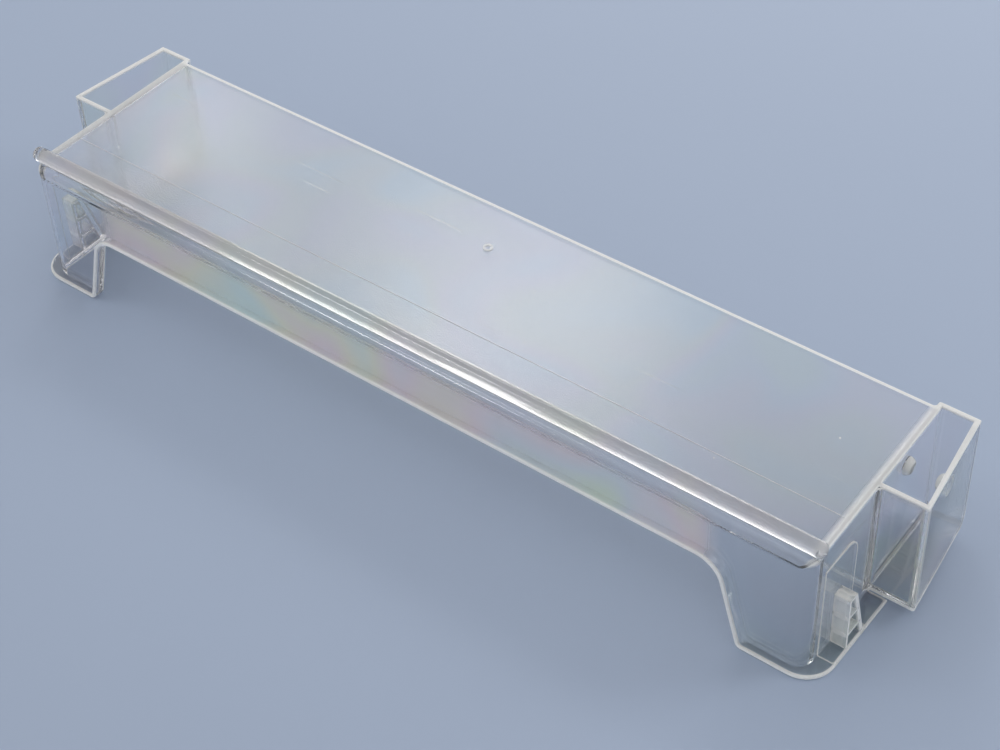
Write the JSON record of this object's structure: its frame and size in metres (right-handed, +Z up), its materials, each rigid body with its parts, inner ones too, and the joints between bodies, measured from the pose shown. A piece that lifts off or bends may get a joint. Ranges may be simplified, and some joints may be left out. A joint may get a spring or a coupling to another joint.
{
  "type": "refrigerator door shelf",
  "caption": "Clear moulded refrigerator door shelf with a cut-out front wall, a rim lip, a front bead and a hanging sleeve at each end, stored upside down on its rim",
  "frame": {"origin": "centre of the base of the bounding box, in the plane of the rim on which the upturned shelf stands", "axes": "+X along the shelf to the right end, +Y from the front wall to the open rear, +Z up from the rim to the shelf's floor"},
  "size_m": [0.4598, 0.1062, 0.0723],
  "materials": {
    "clear_plastic": "clear gloss"
  },
  "bodies": {
    "root": {"door_shelf": "clear_plastic"}
  },
  "joints": []
}
